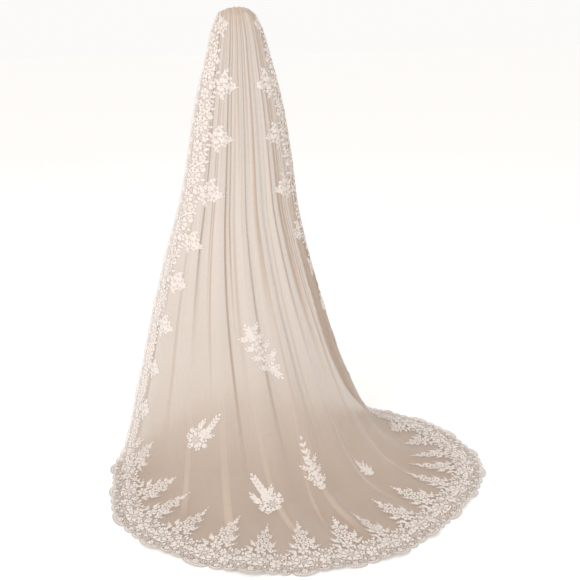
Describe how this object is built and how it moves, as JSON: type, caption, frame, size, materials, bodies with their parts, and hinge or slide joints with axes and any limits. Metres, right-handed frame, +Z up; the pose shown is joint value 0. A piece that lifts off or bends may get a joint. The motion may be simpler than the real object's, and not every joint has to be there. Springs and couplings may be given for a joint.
{
  "type": "lace bridal veil",
  "caption": "Long single-tier bridal veil of fine net with a scalloped lace edge, gathered on a comb, in its worn form with the train spread on the floor behind.",
  "frame": {"origin": "the comb at the crown, where the veil sits on the head, on the line of the gathers", "axes": "+Z up, -Y to the open front of the veil, +Y behind it along the train, +X to the wearer's left"},
  "size_m": [1.4697, 1.137, 1.7357],
  "materials": {
    "tulle": "fine sheer net, ivory to champagne",
    "lace": "corded floral lace, matte ivory",
    "comb": "satin, clear ivory"
  },
  "bodies": {
    "root": {"comb": "comb", "tulle": "tulle", "lace_left_edge": "lace", "lace_hem": "lace", "lace_right_edge": "lace", "spray_back": "lace", "spray_side": "lace", "spray_train": "lace", "spray_long": "lace", "spray_small": "lace"}
  },
  "joints": []
}
